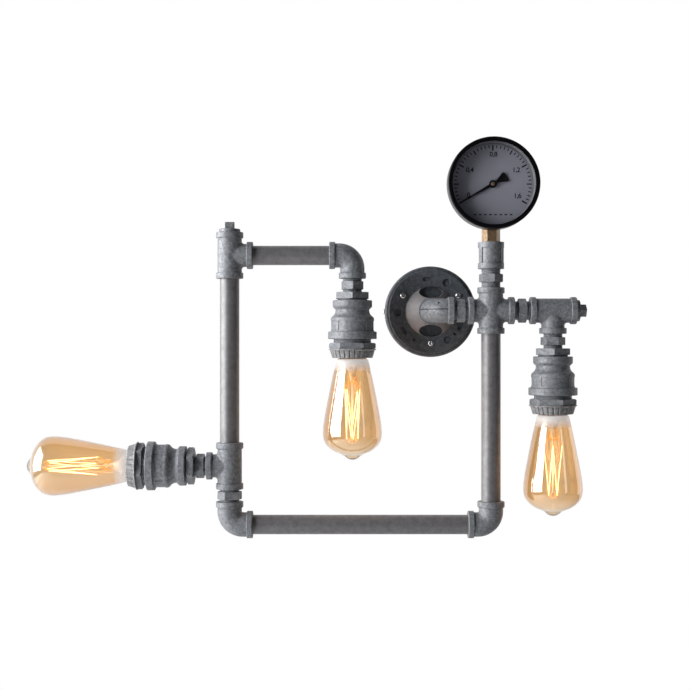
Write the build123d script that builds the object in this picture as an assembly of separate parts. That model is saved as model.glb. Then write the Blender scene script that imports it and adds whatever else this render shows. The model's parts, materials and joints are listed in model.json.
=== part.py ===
from build123d import *
import math
import os

# A wall light built from half-inch iron pipe and malleable fittings, with three
# lamps and a pressure gauge. Millimetres, +Z up, +X to the viewer's right. The
# origin is the middle of the wall bracket's back face, and the wall is the plane
# y = 0, so the light stands out from it towards -Y.

# Half-inch pipe and the thread that joins everything to it
pipe_outer_r = 10.65
pipe_bore_r = 8.0
thread_clearance = 0.08
thread_pitch = 1.81
thread_depth = 0.75
thread_crest_share = 0.38
thread_in_socket = 11.0
pipe_in_socket = 12.5

# Half-inch elbows, tees and cross
fitting_reach = 25.5
wall_elbow_reach = 22.7
run_tube_r = 13.4
branch_tube_r = 12.7
crotch_round = 3.0
band_r = 15.0
band_width = 6.5
band_round = 0.9
socket_depth = 13.0
passage_r = 8.5
elbow_bend_r = 14.6
set_screw_hole_r = 1.6
set_screw_hole_depth = 2.2
set_screw_hole_reach = 6.0

# Free lengths of pipe and nipple between the faces of the fittings
right_pipe_free = 184.3
bottom_pipe_free = 236.5
left_pipe_free = 180.5
top_pipe_free = 84.0
wall_nipple_free = 15.5
gauge_nipple_free = 20.5
right_nipple_free = 17.2
corner_nipple_free = 13.5
middle_lamp_nipple_free = 15.0
right_lamp_nipple_free = 16.0
left_lamp_nipple_free = 13.2

# Hexagon nipples and square-headed plugs. The bevel of a hexagon takes this share of the
# step from its flats out to its corners.
hexagon_bevel_share = 0.5
nipple_flats = 23.4
nipple_hex_length = 8.8
wall_nipple_turn_deg = 18.0
gauge_nipple_turn_deg = 41.0
right_nipple_turn_deg = 52.0
corner_nipple_turn_deg = 11.0
left_lamp_nipple_turn_deg = 13.0
middle_lamp_nipple_turn_deg = 27.0
right_lamp_nipple_turn_deg = 11.0
plug_collar_r = 11.7
plug_collar_length = 3.6
plug_square = 10.2
plug_square_length = 7.4
plug_turn_deg = 38.0

# Straight coupling under the gauge
coupling_r = 14.4
coupling_length = 29.2
coupling_band = 6.0
coupling_recess = 1.1
coupling_rib_width = 5.0
coupling_ribs = 3
coupling_turn_deg = 90.0

# Wall bracket, canopy cup and flange
canopy_r = 51.5
canopy_depth = 19.0
canopy_wall = 1.6
canopy_edge_round = 3.5
canopy_hole_r = 13.0
flange_inset = 3.9
flange_thickness = 3.0
flange_edge_round = 1.0
hub_base_r = 28.5
hub_top_r = 15.0
hub_height = 14.0
hub_nipple_behind = 2.0
hub_window_width = 26.5
hub_window_height = 13.6
hub_window_centre = 21.6
recess_circle_inset = 10.6
recess_r = 4.3
recess_depth = 1.9
recess_angles_deg = (61.0, 181.0, 301.0)
slot_length = 10.5
slot_width = 4.8
slot_angles_deg = (96.0, 215.0, 335.0)
pilot_hole_r = 1.6
pilot_angles_deg = (239.0, 317.0)
bracket_thickness = 1.6
bracket_width = 24.0
bracket_tab_width = 12.0
bracket_tab_height = 14.0
bracket_clearance = 0.15
wall_hole_r = 2.6
wall_hole_spacing = 60.0

# Round-headed machine screws of the canopy
screw_r = 2.0
screw_clearance = 0.1
screw_length = 9.0
screw_head_r = 3.3
screw_head_height = 2.1
screw_slot_width = 0.9
screw_slot_depth = 0.9
screw_circle_inset = 11.6
screw_angles_deg = (30.0, 150.0, 270.0)

# Terminal block and the flex inside the pipes
terminal_length = 32.0
terminal_width = 15.0
terminal_height = 11.4
terminal_poles = 3
terminal_hole_r = 2.2
terminal_hole_depth = 4.0
flex_r = 2.3
flex_splice_gap = 0.3

# Lamp head, from the half-inch bushing down to the shade ring
upper_flats = 35.5
upper_hex_length = 7.2
upper_thread_r = 16.6
upper_thread_show = 1.7
upper_thread_inside = 8.5
reducer_length = 42.6
reducer_small_band_r = 21.7
reducer_small_band = 7.2
reducer_waist_r = 18.6
reducer_belly_r = 23.9
reducer_belly_start = 21.0
flare_middle_share = 0.62
reducer_large_band_r = 26.8
reducer_large_band = 8.3
reducer_cavity_r = 20.2
reducer_throat_r = 15.0
reducer_throat_length = 20.0
reducer_panel_depth = 0.5
reducer_panels = 4
reducer_panel_angle_deg = 80.0
reducer_panel_margin = 1.6
lower_flats = 44.6
lower_hex_length = 6.6
lower_thread_r = 20.95
lower_thread_show = 4.1
lower_thread_inside = 9.0
middle_hexagon_turns_deg = (30.0, 2.0)
right_hexagon_turns_deg = (34.0, 14.0)
left_hexagon_turns_deg = (4.0, 13.0)

# Lampholder, its screw shell and the fluted shade ring
holder_r = 17.8
holder_clearance = 0.15
holder_shoulder_r = 19.6
holder_shoulder = 6.0
holder_length = 40.6
holder_cavity_clearance = 0.1
holder_wire_hole_r = 3.0
holder_mouth_back = 0.3
shell_clearance = 0.2
shell_wall = 0.4
shell_length = 25.5
shell_mouth_back = 2.2
tongue_width = 5.0
tongue_thickness = 0.5
tongue_gap = 0.2
ring_length = 9.9
ring_lip_r = 26.3
ring_lip = 1.8
ring_top_r = 24.7
ring_bottom_r = 22.2
flute_count = 26
flute_r = 1.15
flute_lift_share = 0.25

# Squirrel-cage bulb with its screw cap
cap_r = 13.15
cap_thread_pitch = 3.62
cap_thread_depth = 1.1
cap_threads = 5
cap_rim_length = 3.4
cap_insulator_length = 3.6
cap_contact_r = 4.8
cap_contact_length = 1.4
cap_wall = 0.8
cap_to_mouth = 0.2
glass_r = 32.7
glass_length = 112.0
glass_wall = 0.9
glass_mouth_r = 10.0
nub_r = 8.3
nub_length = 3.4
stem_r = 2.6
stem_flare_clearance = 0.1
stem_flare_length = 9.0
stem_length = 31.0
strand_count = 8
strand_r = 0.5
strand_top_r = 10.0
strand_bottom_r = 7.2
strand_end = 90.0
spider_r = 0.9

# Pressure gauge
gauge_thread_free = 0.3
case_r = 46.5
case_wall = 1.2
case_back = 15.5
case_front = 29.0
case_edge_round = 3.0
bezel_edge = 3.4
bezel_back = 14.0
bezel_front = 33.0
bezel_lip = 2.0
bezel_cover = 1.5
bezel_edge_round = 1.6
bezel_clearance = 0.1
window_thickness = 2.0
dial_clearance = 0.2
dial_thickness = 0.8
dial_front = 18.6
dial_hole_r = 2.6
gauge_flats = 17.6
gauge_hex_length = 15.0
gauge_neck_r = 7.0
gauge_block = 15.0
gauge_block_top = 29.0
gauge_bore_r = 2.0
case_clearance = 0.1
plate_thickness = 1.2
plate_width = 26.0
plate_top = 8.0
plate_bottom = 37.0
plate_gap = 5.0
pillar_r = 1.6
arbor_r = 0.9
arbor_clearance = 0.06
wheel_clearance = 0.3
dial_post_r = 1.5
pointer_tip_inset = 6.1
pointer_width = 3.2
pointer_tip_width = 1.2
pointer_thickness = 0.8
pointer_height = 1.9
pointer_tail_start = 5.5
pointer_tail_end = 16.9
pointer_tail_width = 12.6
pointer_corner_r = 1.7
pointer_hub_r = 4.2
pointer_hub_height = 1.8
pointer_slot_width = 0.9
pointer_slot_depth = 0.7
pointer_rest_deg = 210.0
pinion_r = 2.4
pinion_teeth = 12
pinion_thickness = 1.8
sector_ratio = 10
sector_teeth = 13
sector_lead_teeth = 2
sector_thickness = 1.4
sector_arm_width = 6.0
sector_hub_r = 3.0
tooth_height_share = 0.27
tooth_root_share = 0.38
tooth_tip_share = 0.16
bourdon_inset = 15.5
bourdon_width = 9.0
bourdon_thickness = 3.4
bourdon_sweep_deg = 265.0

# Cuts run past the face that they leave by this much
overrun = 1.0

# Sizes that follow from others
flange_r = canopy_r - flange_inset
screw_circle_r = flange_r - screw_circle_inset
recess_circle_r = flange_r - recess_circle_inset
shell_r = cap_r + shell_clearance + shell_wall
holder_cavity_r = shell_r + holder_cavity_clearance
stem_flare_r = glass_mouth_r - stem_flare_clearance
bezel_r = case_r + bezel_edge
bezel_opening_r = case_r - bezel_cover
dial_r = case_r - case_wall - dial_clearance
gauge_rise = case_r + gauge_hex_length + gauge_thread_free
pointer_length = dial_r - pointer_tip_inset
bourdon_r = case_r - bourdon_inset

# Places worked out from the sizes above
toward_viewer = Location((0, 0, 0), (90, 0, 0))
flange_front = canopy_depth + flange_thickness
hub_front = flange_front + hub_height
pipe_y = -(hub_front + fitting_reach)
socket_r = pipe_outer_r + thread_clearance
cross_x = wall_elbow_reach + wall_nipple_free + fitting_reach
right_tee_x = cross_x + 2 * fitting_reach + right_nipple_free
bottom_z = -(2 * fitting_reach + right_pipe_free)
left_x = cross_x - 2 * fitting_reach - bottom_pipe_free
left_tee_z = bottom_z + 2 * fitting_reach + corner_nipple_free
top_z = left_tee_z + 2 * fitting_reach + left_pipe_free
top_elbow_x = left_x + 2 * fitting_reach + top_pipe_free
coupling_z = fitting_reach + gauge_nipple_free
gauge_z = coupling_z + coupling_length + gauge_rise

right = Vector(1, 0, 0)
left = Vector(-1, 0, 0)
up = Vector(0, 0, 1)
down = Vector(0, 0, -1)
to_wall = Vector(0, 1, 0)
upright = (Align.CENTER, Align.CENTER, Align.MIN)


def write(name, *solids):
    export_step(solids[0] if len(solids) == 1 else Compound(list(solids)), f"parts/{name}.step")


def along(direction, origin=(0, 0, 0)):
    return Plane(origin=origin, z_dir=direction).location


def turned(*points):
    return revolve(make_face(Plane.XZ * Polyline(*points, close=True)), Axis.Z)


def rod(radius, start, stop):
    return Pos(0, 0, start) * Cylinder(radius, stop - start, align=upright)


def ridges(radius, start, stop, pitch=thread_pitch, depth=thread_depth):
    count = max(1, round((stop - start) / pitch))
    step = (stop - start) / count
    points = []
    for i in range(count):
        points.append((radius - depth, start + i * step))
        points.append((radius, start + (i + thread_crest_share) * step))
    points.append((radius - depth, stop))
    return points


def hexagon(flats, length):
    flat_r = flats / 2
    corner_r = flat_r / math.cos(math.pi / 6)
    rim_r = corner_r - hexagon_bevel_share * (corner_r - flat_r)
    bevel = (corner_r - rim_r) * math.tan(math.pi / 6)
    prism = extrude(RegularPolygon(flat_r, 6, major_radius=False), length)
    return prism & turned(
        (0, 0), (rim_r, 0), (corner_r, bevel), (corner_r, length - bevel), (rim_r, length), (0, length)
    )


# Malleable fittings: each is tubes that meet in the middle, with a raised band
# round every mouth, and is bored out for the pipe threads and the flex.
def band():
    ring = Pos(0, 0, fitting_reach - band_width) * Cylinder(band_r, band_width, align=upright)
    return fillet(ring.edges().filter_by(GeomType.CIRCLE), band_round)


def mouth(reach=fitting_reach):
    return rod(socket_r, reach - socket_depth, reach + overrun)


def branched(run, branches):
    tubes = along(run) * Cylinder(run_tube_r, 2 * fitting_reach)
    for direction in branches:
        tubes += along(direction) * rod(branch_tube_r, 0, fitting_reach)
    meets = tubes.edges().filter_by(lambda e: e.geom_type not in (GeomType.CIRCLE, GeomType.LINE))
    body = fillet(meets, crotch_round)
    mouths = [run, -run] + branches
    for direction in mouths:
        body += along(direction) * band()
    for direction in mouths:
        body -= along(direction) * rod(passage_r, 0, fitting_reach + overrun)
        body -= along(direction) * mouth()
    return body


def bent_tube(radius, first, first_reach, second, second_reach):
    path = FilletPolyline(first * first_reach, (0, 0, 0), second * second_reach, radius=elbow_bend_r)
    return sweep(Plane(origin=path @ 0, z_dir=path % 0) * Circle(radius), path=path)


def elbow(first, second, second_reach=fitting_reach):
    body = bent_tube(run_tube_r, first, fitting_reach, second, second_reach)
    body += along(first) * band()
    body += along(second, second * (second_reach - fitting_reach)) * band()
    body -= bent_tube(passage_r, first, fitting_reach, second, second_reach)
    body -= along(first) * mouth()
    body -= along(second) * mouth(second_reach)
    return body


def wall_elbow():
    body = elbow(to_wall, right, wall_elbow_reach)
    dent = rod(set_screw_hole_r, run_tube_r - set_screw_hole_depth, run_tube_r + overrun)
    lean = Plane(origin=(set_screw_hole_reach, 0, 0), z_dir=(0, -1, 1)).location
    return body - lean * dent


def pipe(free):
    return rod(pipe_outer_r, -pipe_in_socket, free + pipe_in_socket) - rod(
        pipe_bore_r, -pipe_in_socket - overrun, free + pipe_in_socket + overrun
    )


def hex_nipple(free, turn_deg):
    hex_start = (free - nipple_hex_length) / 2
    hex_stop = hex_start + nipple_hex_length
    body = turned(
        (pipe_bore_r, -thread_in_socket),
        (pipe_outer_r, -thread_in_socket),
        (pipe_outer_r, 0),
        *ridges(pipe_outer_r, 0, hex_start),
        *ridges(pipe_outer_r, hex_stop, free),
        (pipe_outer_r, free),
        (pipe_outer_r, free + thread_in_socket),
        (pipe_bore_r, free + thread_in_socket),
    )
    nut = Location((0, 0, hex_start), (0, 0, turn_deg)) * hexagon(nipple_flats, nipple_hex_length)
    return body + (nut - rod(pipe_bore_r, -overrun, free + overrun))


def hub_nipple():
    inner = canopy_depth - hub_nipple_behind
    outer = hub_front + thread_in_socket
    return rod(pipe_outer_r, inner, outer) - rod(pipe_bore_r, inner - overrun, outer + overrun)


def plug(turn_deg=0.0):
    collar = rod(plug_collar_r, 0, plug_collar_length)
    collar = fillet(collar.edges().group_by(Axis.Z)[-1], band_round)
    square = Box(plug_square, plug_square, plug_square_length, align=upright)
    square = fillet(square.edges().filter_by(Axis.Z), band_round)
    head = Location((0, 0, plug_collar_length), (0, 0, turn_deg)) * square
    return rod(pipe_outer_r, -thread_in_socket, 0) + collar + head


def gauge_coupling():
    inner = coupling_r - coupling_recess
    groove = rod(coupling_r + overrun, coupling_band, coupling_length - coupling_band)
    rib_reach = coupling_r + overrun
    core = rod(inner, 0, coupling_length)
    rib = Pos(rib_reach / 2, 0, 0) * Box(rib_reach, coupling_rib_width, coupling_length, align=upright)
    for i in range(coupling_ribs):
        core += Rot(0, 0, coupling_turn_deg + 360 / coupling_ribs * i) * rib
    body = rod(coupling_r, 0, coupling_length)
    body -= groove - core
    return body - rod(socket_r, -overrun, coupling_length + overrun)


# Wall end, in a frame whose +Z leaves the wall
def around(angle_deg, radius, height=0.0):
    a = math.radians(angle_deg)
    return Location((radius * math.cos(a), radius * math.sin(a), height), (0, 0, angle_deg))


def wall_bracket():
    half = canopy_r - canopy_wall - bracket_clearance
    tab_half = math.sqrt(half**2 - (bracket_tab_width / 2) ** 2)
    bar = Box(2 * tab_half, bracket_width, bracket_thickness, align=upright)
    bar &= rod(half, 0, bracket_thickness)
    for side in (-1, 1):
        tab = Box(bracket_thickness, bracket_tab_width, bracket_tab_height, align=upright)
        bar += Pos(side * (tab_half - bracket_thickness / 2), 0, 0) * tab
        hole = rod(wall_hole_r, -overrun, bracket_thickness + overrun)
        bar -= Pos(side * wall_hole_spacing / 2, 0, 0) * hole
    across = 2 * (canopy_r + overrun)
    drill = Cylinder(screw_r + screw_clearance, across, rotation=(0, 90, 0))
    return bar - Pos(0, 0, canopy_depth / 2) * drill


def screw_holes(start, stop):
    return [around(a, screw_circle_r) * rod(screw_r + screw_clearance, start, stop) for a in screw_angles_deg]


def canopy_cup():
    body = rod(canopy_r, 0, canopy_depth)
    body = fillet(body.edges().group_by(Axis.Z)[-1], canopy_edge_round)
    hollow = rod(canopy_r - canopy_wall, -overrun, canopy_depth - canopy_wall)
    hollow = fillet(hollow.edges().group_by(Axis.Z)[-1], canopy_edge_round - canopy_wall)
    body -= hollow
    body -= rod(canopy_hole_r, 0, canopy_depth + overrun)
    for hole in screw_holes(0, canopy_depth + overrun):
        body -= hole
    across = 2 * (canopy_r + overrun)
    drill = Cylinder(screw_r + screw_clearance, across, rotation=(0, 90, 0))
    return body - Pos(0, 0, canopy_depth / 2) * drill


def flange_plate():
    plate = rod(flange_r, canopy_depth, flange_front)
    plate = fillet(plate.edges().group_by(Axis.Z)[-1], flange_edge_round)
    cone = Pos(0, 0, flange_front) * Cone(hub_base_r, hub_top_r, hub_height, align=upright)
    body = plate + cone
    body -= rod(socket_r, canopy_depth - overrun, hub_front + overrun)
    for hole in screw_holes(canopy_depth - overrun, flange_front + overrun):
        body -= hole
    deep = hub_front - canopy_depth + 2 * overrun
    for side in (-1, 1):
        window = extrude(Ellipse(hub_window_width / 2, hub_window_height / 2), deep)
        body -= Pos(0, side * hub_window_centre, canopy_depth - overrun) * window
    floor = flange_front - recess_depth
    for a in recess_angles_deg:
        body -= around(a, recess_circle_r) * rod(recess_r, floor, flange_front + overrun)
    for a in slot_angles_deg:
        slot = extrude(Rot(0, 0, 90) * SlotOverall(slot_length, slot_width), recess_depth + overrun)
        body -= around(a, recess_circle_r, floor) * slot
    for a in pilot_angles_deg:
        body -= around(a, recess_circle_r) * rod(pilot_hole_r, canopy_depth - overrun, flange_front + overrun)
    return body


def screw():
    head = rod(screw_head_r, 0, screw_head_height)
    head = fillet(head.edges().group_by(Axis.Z)[-1], screw_head_height - screw_slot_depth / 2)
    slot = Box(2 * (screw_head_r + overrun), screw_slot_width, screw_slot_depth + overrun, align=upright)
    head -= Pos(0, 0, screw_head_height - screw_slot_depth) * slot
    return head + rod(screw_r, -screw_length, 0)


def canopy_screws():
    front = [around(a, screw_circle_r, flange_front) * screw() for a in screw_angles_deg]
    middle = canopy_depth / 2
    sides = [along((s, 0, 0), (s * canopy_r, 0, middle)) * screw() for s in (-1, 1)]
    return front + sides


def terminal_block():
    block = Box(terminal_length, terminal_width, terminal_height, align=upright)
    block = fillet(block.edges().filter_by(Axis.Z), band_round)
    pole_pitch = terminal_length / terminal_poles
    for i in range(terminal_poles):
        x = (i - (terminal_poles - 1) / 2) * pole_pitch
        for side in (-1, 1):
            hole = rod(terminal_hole_r, -overrun, terminal_hole_depth)
            mouth_at = (x, side * terminal_width / 2, terminal_height / 2)
            block -= along((0, -side, 0), mouth_at) * hole
    return Pos(0, 0, bracket_thickness) * block


# Flex inside the pipes: one run round the whole frame, and a branch to each lamp
def flex(*points):
    path = FilletPolyline(*points, radius=elbow_bend_r)
    return sweep(Plane(origin=path @ 0, z_dir=path % 0) * Circle(flex_r), path=path)


def straight_flex(start, stop):
    run = Vector(*stop) - Vector(*start)
    return along(run, start) * rod(flex_r, 0, run.length)


def frame_flex():
    splice = 2 * flex_r + flex_splice_gap
    terminal_top = -(bracket_thickness + terminal_height)
    round_frame = flex(
        (0, terminal_top, 0),
        (0, pipe_y, 0),
        (cross_x, pipe_y, 0),
        (cross_x, pipe_y, bottom_z),
        (left_x, pipe_y, bottom_z),
        (left_x, pipe_y, top_z),
        (left_x + fitting_reach + top_pipe_free, pipe_y, top_z),
    )
    holder_back = fitting_reach + left_lamp_nipple_free + holder_start()
    to_left = straight_flex((left_x - splice, pipe_y, left_tee_z), (left_x - holder_back, pipe_y, left_tee_z))
    nipple_end = cross_x + fitting_reach + right_nipple_free + thread_in_socket
    to_right = straight_flex((cross_x - fitting_reach, pipe_y, splice), (nipple_end, pipe_y, splice))
    return round_frame, to_left, to_right


# Lamp head, in a frame whose +Z runs from the fitting to the tip of the bulb and
# whose origin is where the upper bushing's hexagon starts
reducer_start = upper_hex_length + upper_thread_show
lower_start = reducer_start + reducer_length
lower_hex_start = lower_start + lower_thread_show
ring_start = lower_hex_start + lower_hex_length
mouth_z = ring_start + ring_length
glass_z = mouth_z + cap_to_mouth


def holder_start():
    return mouth_z - holder_mouth_back - holder_length


def upper_bushing(turn_deg):
    body = Rot(0, 0, turn_deg) * hexagon(upper_flats, upper_hex_length)
    body += turned(
        (0, upper_hex_length),
        *ridges(upper_thread_r, upper_hex_length, reducer_start),
        (upper_thread_r, reducer_start),
        (upper_thread_r, reducer_start + upper_thread_inside),
        (0, reducer_start + upper_thread_inside),
    )
    return body - rod(socket_r, -overrun, reducer_start + upper_thread_inside + overrun)


def reducer_outline():
    waist_start = reducer_small_band + (reducer_small_band_r - reducer_waist_r)
    belly_stop = reducer_length - reducer_large_band
    flare_length = reducer_belly_start - waist_start
    lines = [
        Line((0, 0), (reducer_small_band_r, 0)),
        Line((reducer_small_band_r, 0), (reducer_small_band_r, reducer_small_band)),
        Line((reducer_small_band_r, reducer_small_band), (reducer_waist_r, waist_start)),
        Spline(
            (reducer_waist_r, waist_start),
            ((reducer_waist_r + reducer_belly_r) / 2, waist_start + flare_length * flare_middle_share),
            (reducer_belly_r, reducer_belly_start),
            tangents=[(0, 1), (0, 1)],
        ),
        Line((reducer_belly_r, reducer_belly_start), (reducer_belly_r, belly_stop)),
        Line((reducer_belly_r, belly_stop), (reducer_large_band_r, belly_stop)),
        Line((reducer_large_band_r, belly_stop), (reducer_large_band_r, reducer_length)),
        Line((reducer_large_band_r, reducer_length), (0, reducer_length)),
        Line((0, reducer_length), (0, 0)),
    ]
    return make_face(Plane.XZ * Wire(lines))


def reducer_panel():
    start = reducer_belly_start + reducer_panel_margin
    stop = reducer_length - reducer_large_band - reducer_panel_margin
    floor = reducer_belly_r - reducer_panel_depth
    outer = reducer_belly_r + overrun
    strip = Polyline((floor, start), (outer, start), (outer, stop), (floor, stop), close=True)
    return revolve(make_face(Plane.XZ * strip), Axis.Z, reducer_panel_angle_deg)


def reducing_socket():
    body = revolve(reducer_outline(), Axis.Z)
    rims = body.edges().filter_by(GeomType.CIRCLE).filter_by(lambda e: e.radius > reducer_belly_r)
    small = body.edges().filter_by(GeomType.CIRCLE).filter_by(
        lambda e: abs(e.radius - reducer_small_band_r) < thread_clearance
    )
    body = fillet(rims + small, band_round)
    for i in range(reducer_panels):
        turn = 360 / reducer_panels * i - reducer_panel_angle_deg / 2
        body -= Rot(0, 0, turn) * reducer_panel()
    small_r = upper_thread_r + thread_clearance
    large_r = lower_thread_r + thread_clearance
    body -= rod(small_r, -overrun, upper_thread_inside + overrun)
    body -= rod(reducer_throat_r, 0, reducer_throat_length)
    body -= rod(reducer_cavity_r, reducer_throat_length - overrun, reducer_length)
    body -= rod(large_r, reducer_length - lower_thread_inside - overrun, reducer_length + overrun)
    return Pos(0, 0, reducer_start) * body


def lower_bushing(turn_deg):
    inner_end = lower_start - lower_thread_inside
    body = turned(
        (0, inner_end),
        (lower_thread_r, inner_end),
        (lower_thread_r, lower_start),
        *ridges(lower_thread_r, lower_start, lower_hex_start),
        (0, lower_hex_start),
    )
    nut = Location((0, 0, lower_hex_start), (0, 0, turn_deg)) * hexagon(lower_flats, lower_hex_length)
    return body + nut - rod(holder_r + holder_clearance, inner_end - overrun, ring_start + overrun)


def lampholder():
    start = holder_start()
    stop = mouth_z - holder_mouth_back
    shoulder_stop = lower_start - lower_thread_inside
    body = rod(holder_r, start, stop)
    body += rod(holder_shoulder_r, shoulder_stop - holder_shoulder, shoulder_stop)
    body -= rod(holder_cavity_r, stop - shell_mouth_back - shell_length, stop + overrun)
    return body - rod(holder_wire_hole_r, start - overrun, stop)


def screw_shell():
    stop = mouth_z - holder_mouth_back - shell_mouth_back
    start = stop - shell_length
    inner = shell_r - shell_wall
    shell = rod(shell_r, start, stop) - rod(inner, start + shell_wall, stop + overrun)
    rise = glass_z - cap_length() - tongue_gap - start - shell_wall
    leg = Box(tongue_thickness, tongue_width, rise, align=upright)
    leaf = Box(tongue_width, tongue_width, tongue_thickness, align=upright)
    shell += Pos(tongue_width / 2 - tongue_thickness / 2, 0, start + shell_wall) * leg
    return shell + Pos(0, 0, start + shell_wall + rise - tongue_thickness) * leaf


def shade_ring():
    inner = holder_r + holder_clearance
    body = turned(
        (inner, ring_start),
        (ring_lip_r, ring_start),
        (ring_lip_r, ring_start + ring_lip / 2),
        (ring_top_r, ring_start + ring_lip),
        (ring_bottom_r, mouth_z),
        (inner, mouth_z),
    )
    lean = math.degrees(math.atan2(ring_top_r - ring_bottom_r, ring_length - ring_lip))
    groove = Cylinder(flute_r, 2 * ring_length)
    middle_z = (ring_start + ring_lip + mouth_z) / 2
    middle_r = (ring_top_r + ring_bottom_r) / 2 + flute_r * flute_lift_share
    groove = Location((middle_r, 0, middle_z), (0, -lean, 0)) * groove
    keep = rod(ring_lip_r + overrun, ring_start + ring_lip, mouth_z + overrun)
    groove &= keep
    for i in range(flute_count):
        body -= Rot(0, 0, 360 / flute_count * i) * groove
    return body


# Bulb, in the lamp head's frame
def cap_length():
    return cap_rim_length + cap_threads * cap_thread_pitch + cap_insulator_length + cap_contact_length


def bulb_cap():
    thread_start = glass_z - cap_rim_length - cap_threads * cap_thread_pitch
    thread_stop = glass_z - cap_rim_length
    insulator = thread_start - cap_insulator_length
    root_r = cap_r - cap_thread_depth
    body = turned(
        (0, insulator - cap_contact_length),
        (cap_contact_r, insulator - cap_contact_length),
        (cap_contact_r, insulator),
        *ridges(cap_r, thread_start, thread_stop, cap_thread_pitch, cap_thread_depth),
        (cap_r, glass_z - cap_rim_length / 2),
        (cap_r, glass_z),
        (0, glass_z),
    )
    return body - rod(root_r - cap_wall, thread_start, glass_z + overrun)


# Radius of the glass as a share of its largest, at shares of its free length
glass_shares = (
    (0.02, 0.530),
    (0.11, 0.610),
    (0.23, 0.705),
    (0.35, 0.790),
    (0.47, 0.872),
    (0.59, 0.948),
    (0.69, 0.992),
    (0.77, 0.992),
    (0.821, 0.948),
    (0.857, 0.870),
    (0.896, 0.731),
    (0.916, 0.630),
    (0.936, 0.485),
    (0.955, 0.333),
)


def glass_side(inset):
    side = [((share * glass_r - inset), z_share * glass_length) for z_share, share in glass_shares]
    end = glass_length - inset
    nub_start = glass_length - nub_length
    body = Spline(*side, (nub_r - inset, nub_start))
    tip = Spline(body @ 1, (0, end), tangents=[body % 1, (-1, 0)])
    return body, tip, side[0], end


def bulb_glass():
    outer, outer_tip, outer_start, outer_end = glass_side(0)
    inner, inner_tip, inner_start, inner_end = glass_side(glass_wall)
    shoulder = outer_start[0] - outer_start[1]
    lines = [
        outer,
        outer_tip,
        Line((0, outer_end), (0, inner_end)),
        inner_tip,
        inner,
        Line(inner_start, (glass_mouth_r, inner_start[1])),
        Line((glass_mouth_r, inner_start[1]), (glass_mouth_r, 0)),
        Line((glass_mouth_r, 0), (shoulder, 0)),
        Line((shoulder, 0), outer_start),
    ]
    return Pos(0, 0, glass_z) * revolve(make_face(Plane.XZ * Wire(lines)), Axis.Z)


def filament():
    body = turned(
        (0, 0),
        (stem_flare_r, 0),
        (stem_flare_r, glass_wall),
        (stem_r, stem_flare_length),
        (stem_r, stem_length),
        (spider_r, stem_length),
        (spider_r, strand_end),
        (0, strand_end),
    )
    corners = []
    for i in range(strand_count + 1):
        reach, height = (strand_bottom_r, strand_end) if i % 2 else (strand_top_r, stem_length)
        a = 2 * math.pi * i / strand_count
        corners.append(Vector(reach * math.cos(a), reach * math.sin(a), height))
    for corner, following in zip(corners, corners[1:]):
        for start, stop in ((corner, following), (Vector(0, 0, corner.Z), corner)):
            run = stop - start
            body += along(run, start) * rod(strand_r, -strand_r, run.length + strand_r)
    return Pos(0, 0, glass_z) * body


def write_head(name, place, turns_deg):
    upper_deg, lower_deg = turns_deg
    write(f"{name}_upper_bushing", place * upper_bushing(upper_deg))
    write(f"{name}_reducing_socket", place * reducing_socket())
    write(f"{name}_lower_bushing", place * lower_bushing(lower_deg))
    write(f"{name}_lampholder", place * lampholder())
    write(f"{name}_screw_shell", place * screw_shell())
    write(f"{name}_shade_ring", place * shade_ring())
    write(f"{name}_bulb_cap", place * bulb_cap())
    write(f"{name}_bulb_glass", place * bulb_glass())
    write(f"{name}_filament", place * filament())


# Gauge, in a frame with x to the right, y up and z towards the viewer, whose
# origin is where the pointer's axis crosses the stem's
def gauge_stem():
    block_bottom = case_clearance - math.sqrt((case_r - case_wall) ** 2 - (gauge_block / 2) ** 2)
    hex_top = -case_r
    hex_bottom = hex_top - gauge_hex_length
    thread_bottom = -gauge_rise - thread_in_socket
    body = turned(
        (0, thread_bottom),
        (pipe_outer_r, thread_bottom),
        (pipe_outer_r, -gauge_rise),
        (gauge_neck_r, -gauge_rise),
        (gauge_neck_r, block_bottom),
        (0, block_bottom),
    )
    body += Pos(0, 0, hex_bottom) * hexagon(gauge_flats, gauge_hex_length)
    block_height = -gauge_block_top - block_bottom
    body += Pos(0, 0, block_bottom) * Box(gauge_block, gauge_block, block_height, align=upright)
    bore = rod(gauge_bore_r, thread_bottom - overrun, block_bottom + block_height / 2)
    return Rot(-90, 0, 0) * (body - bore)


def gauge_case():
    body = rod(case_r, -case_back, case_front)
    body = fillet(body.edges().group_by(Axis.Z)[0], case_edge_round)
    body -= rod(case_r - case_wall, -case_back + case_wall, case_front + overrun)
    neck = rod(gauge_neck_r + thread_clearance, 0, case_r + overrun)
    return body - along((0, -1, 0)) * neck


def gauge_bezel():
    body = rod(bezel_r, bezel_back, bezel_front)
    body = fillet(body.edges().group_by(Axis.Z)[-1], bezel_edge_round)
    body -= rod(case_r + bezel_clearance, bezel_back - overrun, bezel_front - bezel_lip)
    return body - rod(bezel_opening_r, bezel_back, bezel_front + overrun)


def gauge_window():
    return rod(case_r, case_front, case_front + window_thickness)


def gauge_dial():
    return rod(dial_r, dial_front - dial_thickness, dial_front) - rod(dial_hole_r, 0, dial_front + overrun)


plate_back = gauge_block / 2
plate_front = plate_back + plate_thickness + plate_gap
sector_y = -pinion_r * (1 + sector_ratio)
arbor_top = dial_front + pointer_height


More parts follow.
